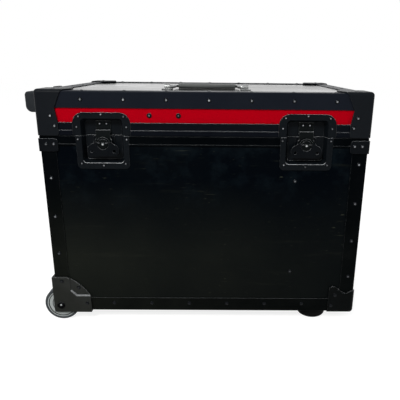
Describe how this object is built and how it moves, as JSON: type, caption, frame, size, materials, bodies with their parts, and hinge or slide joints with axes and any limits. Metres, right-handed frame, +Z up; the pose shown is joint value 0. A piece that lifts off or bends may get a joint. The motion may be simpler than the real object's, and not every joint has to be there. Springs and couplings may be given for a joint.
{
  "type": "wheeled flight case",
  "caption": "Black flight case with a red lid band, hinged lid, butterfly turn latches, corner wheels, feet and a telescoping pull-up handle.",
  "frame": {"origin": "middle of the outer size, on the floor", "axes": "+X along the case away from the wheels, -Y out of the latched front, +Z up"},
  "size_m": [0.7186, 0.496, 0.5189],
  "materials": {
    "black_laminate": "black laminated plywood, slight sheen",
    "red_laminate": "red laminated plywood",
    "black_extrusion": "black anodised aluminium",
    "black_steel": "black coated pressed steel",
    "wheel_steel": "dark grey coated steel",
    "zinc_steel": "zinc plated steel",
    "rivet_steel": "darkened steel",
    "tyre": "grey rubber tread",
    "wheel_plastic": "light grey moulded hub",
    "rubber": "black rubber",
    "grip_plastic": "grey moulded plastic",
    "black_plastic": "black moulded plastic",
    "tube_aluminium": "satin anodised aluminium",
    "plywood": "bare birch plywood",
    "foam": "soft grey-black foam"
  },
  "bodies": {
    "base": {"base_bottom_panel": "black_laminate", "base_front_panel": "black_laminate", "base_back_panel": "black_laminate", "base_left_panel": "black_laminate", "base_right_panel": "black_laminate", "base_rim_extrusions": "black_extrusion", "base_edge_extrusions": "black_extrusion", "base_corner_braces": "black_steel", "ball_corners": "black_steel", "wheel_housings": "wheel_steel", "wheel_axles": "zinc_steel", "rubber_feet": "rubber", "foot_screws": "zinc_steel", "latch_base_dishes": "black_steel", "latch_plates": "black_steel", "hinge_base_leaves": "black_steel", "hinge_pins": "zinc_steel", "trolley_outer_tubes": "tube_aluminium", "trolley_tube_plugs": "black_plastic", "trolley_collars": "black_plastic", "trolley_clamps": "black_steel", "side_handle_dish": "black_steel", "divider_board": "plywood", "divider_angles": "black_extrusion", "floor_foam": "foam", "base_rivets": "rivet_steel"},
    "lid": {"lid_top_panel": "black_laminate", "lid_front_panel": "red_laminate", "lid_back_panel": "red_laminate", "lid_end_panels": "red_laminate", "lid_rim_extrusions": "black_extrusion", "lid_edge_extrusions": "black_extrusion", "lid_corner_covers": "black_steel", "latch_lid_dishes": "black_steel", "latch_keepers": "black_steel", "hinge_lid_leaves": "black_steel", "handle_brackets": "zinc_steel", "lid_foam": "foam", "lid_rivets": "rivet_steel", "lid_washers": "black_steel"},
    "lid_handle": {"handle_bail": "zinc_steel", "handle_grip": "grip_plastic"},
    "front_wheel": {"wheel_front_tyre": "tyre", "wheel_front_hub": "wheel_plastic"},
    "back_wheel": {"wheel_back_tyre": "tyre", "wheel_back_hub": "wheel_plastic"},
    "middle_stage": {"trolley_middle_tubes": "tube_aluminium"},
    "top_stage": {"trolley_inner_tubes": "tube_aluminium", "trolley_grip": "grip_plastic"},
    "release": {"trolley_button": "black_plastic"},
    "left_turn": {"latch_left_hub": "black_steel", "latch_left_pin": "zinc_steel"},
    "left_wing": {"latch_left_wing": "black_steel"},
    "left_hook": {"latch_left_hook": "black_steel"},
    "right_turn": {"latch_right_hub": "black_steel", "latch_right_pin": "zinc_steel"},
    "right_wing": {"latch_right_wing": "black_steel"},
    "right_hook": {"latch_right_hook": "black_steel"},
    "end_handle": {"side_handle_bail": "black_steel", "side_handle_grip": "rubber"}
  },
  "joints": [
    {"name": "lid_hinge", "type": "hinge", "parent": "base", "child": "lid", "pos_m": [0.01965, 0.231, 0.42125], "axis": [-1, 0, 0], "range_deg": [0, 100]},
    {"name": "front_wheel_spin", "type": "hinge", "parent": "base", "child": "front_wheel", "pos_m": [-0.30485, -0.226, 0.0385], "axis": [0, 1, 0], "continuous": true},
    {"name": "back_wheel_spin", "type": "hinge", "parent": "base", "child": "back_wheel", "pos_m": [-0.30485, 0.214, 0.0385], "axis": [0, 1, 0], "continuous": true},
    {"name": "middle_stage_slide", "type": "slide", "parent": "base", "child": "middle_stage", "axis": [0, 0, 1], "range_m": [0, 0.27]},
    {"name": "top_stage_slide", "type": "slide", "parent": "middle_stage", "child": "top_stage", "axis": [0, 0, 1], "range_m": [0, 0.27]},
    {"name": "release_press", "type": "slide", "parent": "top_stage", "child": "release", "axis": [0, 0, -1], "range_m": [0, 0.004], "stiffness_N_per_m": 400},
    {"name": "lid_handle_swing", "type": "hinge", "parent": "lid", "child": "lid_handle", "pos_m": [0.01965, -0.1165, 0.5136], "axis": [1, 0, 0], "range_deg": [0, 95]},
    {"name": "end_handle_swing", "type": "hinge", "parent": "base", "child": "end_handle", "pos_m": [0.34665, -0.006, 0.267], "axis": [0, -1, 0], "range_deg": [0, 90]},
    {"name": "left_latch_turn", "type": "hinge", "parent": "base", "child": "left_turn", "pos_m": [-0.18835, -0.2335, 0.404], "axis": [0, -1, 0], "range_deg": [0, 180]},
    {"name": "left_wing_fold", "type": "hinge", "parent": "left_turn", "child": "left_wing", "pos_m": [-0.18835, -0.2369, 0.4067], "axis": [-1, 0, 0], "range_deg": [0, 90]},
    {"name": "left_hook_lift", "type": "slide", "parent": "base", "child": "left_hook", "axis": [0, -0.335, 0.9422], "range_m": [0, 0.00955]},
    {"name": "right_latch_turn", "type": "hinge", "parent": "base", "child": "right_turn", "pos_m": [0.22765, -0.2335, 0.404], "axis": [0, 1, 0], "range_deg": [0, 180]},
    {"name": "right_wing_fold", "type": "hinge", "parent": "right_turn", "child": "right_wing", "pos_m": [0.22765, -0.2369, 0.4067], "axis": [-1, 0, 0], "range_deg": [0, 90]},
    {"name": "right_hook_lift", "type": "slide", "parent": "base", "child": "right_hook", "axis": [0, -0.335, 0.9422], "range_m": [0, 0.00955]}
  ],
  "couplings": [
    {"joint": "left_hook_lift", "follows": "left_latch_turn", "m_per_rad": 0.0030405},
    {"joint": "right_hook_lift", "follows": "right_latch_turn", "m_per_rad": 0.0030405}
  ]
}
